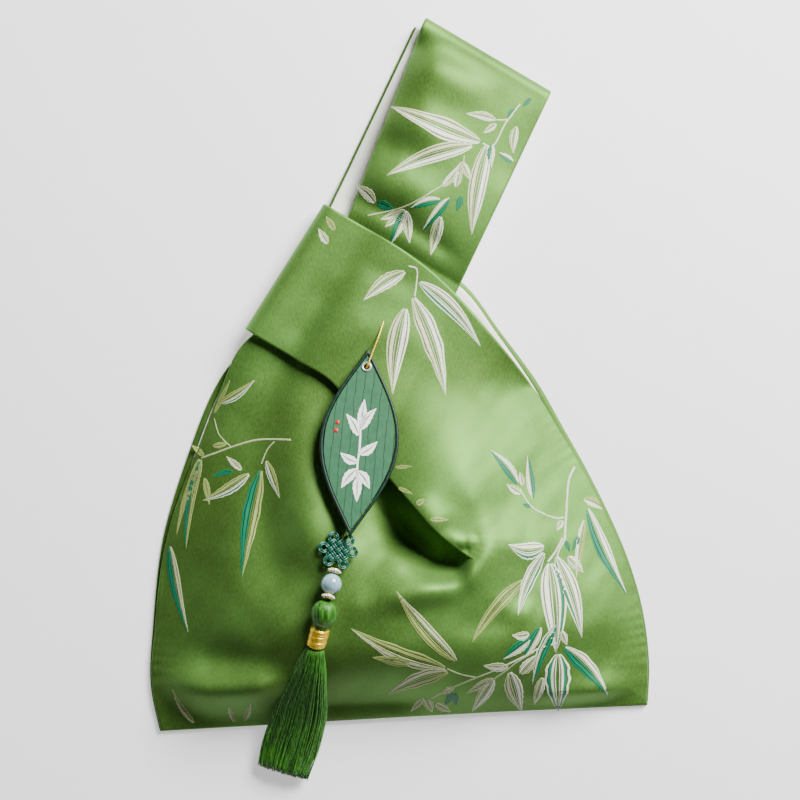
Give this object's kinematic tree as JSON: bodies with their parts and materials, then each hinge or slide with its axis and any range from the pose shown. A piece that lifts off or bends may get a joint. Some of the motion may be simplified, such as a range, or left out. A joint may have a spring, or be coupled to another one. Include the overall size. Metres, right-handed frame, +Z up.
{
  "type": "fabric gift sack",
  "caption": "Soft satin gift sack with a long handle drawn through a short one, lying flat, with a leaf-shaped hang tag, knot charm, bead and tassel.",
  "frame": {"origin": "middle of the footprint, on the surface that the sack lies on", "axes": "the sack lies on its back: +Z up from the table, +Y from the body's bottom edge towards the long handle, +X to the right seen from above"},
  "size_m": [0.2442, 0.3682, 0.0456],
  "materials": {
    "satin_green": "satin",
    "lining_cream": "satin",
    "tag_border_green": "gloss",
    "tag_card_green": "satin",
    "eyelet_pale": "gloss",
    "thread_gold": "metallic thread",
    "charm_teal": "gloss",
    "cord_teal": "matte",
    "ring_gold": "polished",
    "bead_blue": "gloss, milky",
    "silk_green": "silky",
    "wrap_gold": "metallic thread"
  },
  "bodies": {
    "bag": {"front_panel": "satin_green", "back_panel": "satin_green", "front_lining": "lining_cream", "back_lining": "lining_cream"},
    "neck": {"neck_front": "satin_green", "neck_front_lining": "lining_cream", "neck_back": "satin_green", "neck_back_lining": "lining_cream"},
    "handle": {"handle_front": "satin_green", "handle_front_lining": "lining_cream", "handle_back": "satin_green", "handle_back_lining": "lining_cream"},
    "tag": {"hang_thread": "thread_gold", "tag_frame": "tag_border_green", "tag_card": "tag_card_green", "tag_eyelet": "eyelet_pale", "charm_knot": "charm_teal"},
    "strand": {"core_cord": "cord_teal"},
    "upper_ring": {"ring_upper": "ring_gold"},
    "strand_bead": {"bead": "bead_blue"},
    "lower_ring": {"ring_lower": "ring_gold"},
    "tassel": {"tassel_head": "silk_green", "tassel_wrap": "wrap_gold", "tassel_skirt": "silk_green"}
  },
  "joints": [
    {"name": "handle_draw", "type": "slide", "parent": "bag", "child": "neck", "axis": [0.4279, 0.9038, 0], "range_m": [0, 0.012]},
    {"name": "handle_lift", "type": "hinge", "parent": "neck", "child": "handle", "pos_m": [0, 0.0747, 0.013], "axis": [0.8589, -0.5121, 0], "range_deg": [0, 75]},
    {"name": "tag_lift", "type": "hinge", "parent": "bag", "child": "tag", "pos_m": [-0.00846, 0.0395, 0.0185], "axis": [-0.9956, 0.094, 0], "range_deg": [0, 90]},
    {"name": "strand_lift", "type": "hinge", "parent": "tag", "child": "strand", "pos_m": [-0.03076, -0.0786, 0.038], "axis": [-0.9734, 0.2291, 0], "range_deg": [0, 60]},
    {"name": "upper_ring_spin", "type": "hinge", "parent": "strand", "child": "upper_ring", "pos_m": [-0.03106, -0.0799, 0.03682], "axis": [-0.2188, -0.9297, 0.2962], "continuous": true},
    {"name": "bead_spin", "type": "hinge", "parent": "strand", "child": "strand_bead", "pos_m": [-0.03247, -0.08585, 0.03871], "axis": [-0.2188, -0.9297, 0.2962], "continuous": true},
    {"name": "lower_ring_spin", "type": "hinge", "parent": "strand", "child": "lower_ring", "pos_m": [-0.03387, -0.0918, 0.04061], "axis": [-0.2188, -0.9297, 0.2962], "continuous": true},
    {"name": "tassel_lift", "type": "hinge", "parent": "strand", "child": "tassel", "pos_m": [-0.03437, -0.09394, 0.0438], "axis": [-0.9682, 0.2501, 0], "range_deg": [0, 60]}
  ]
}
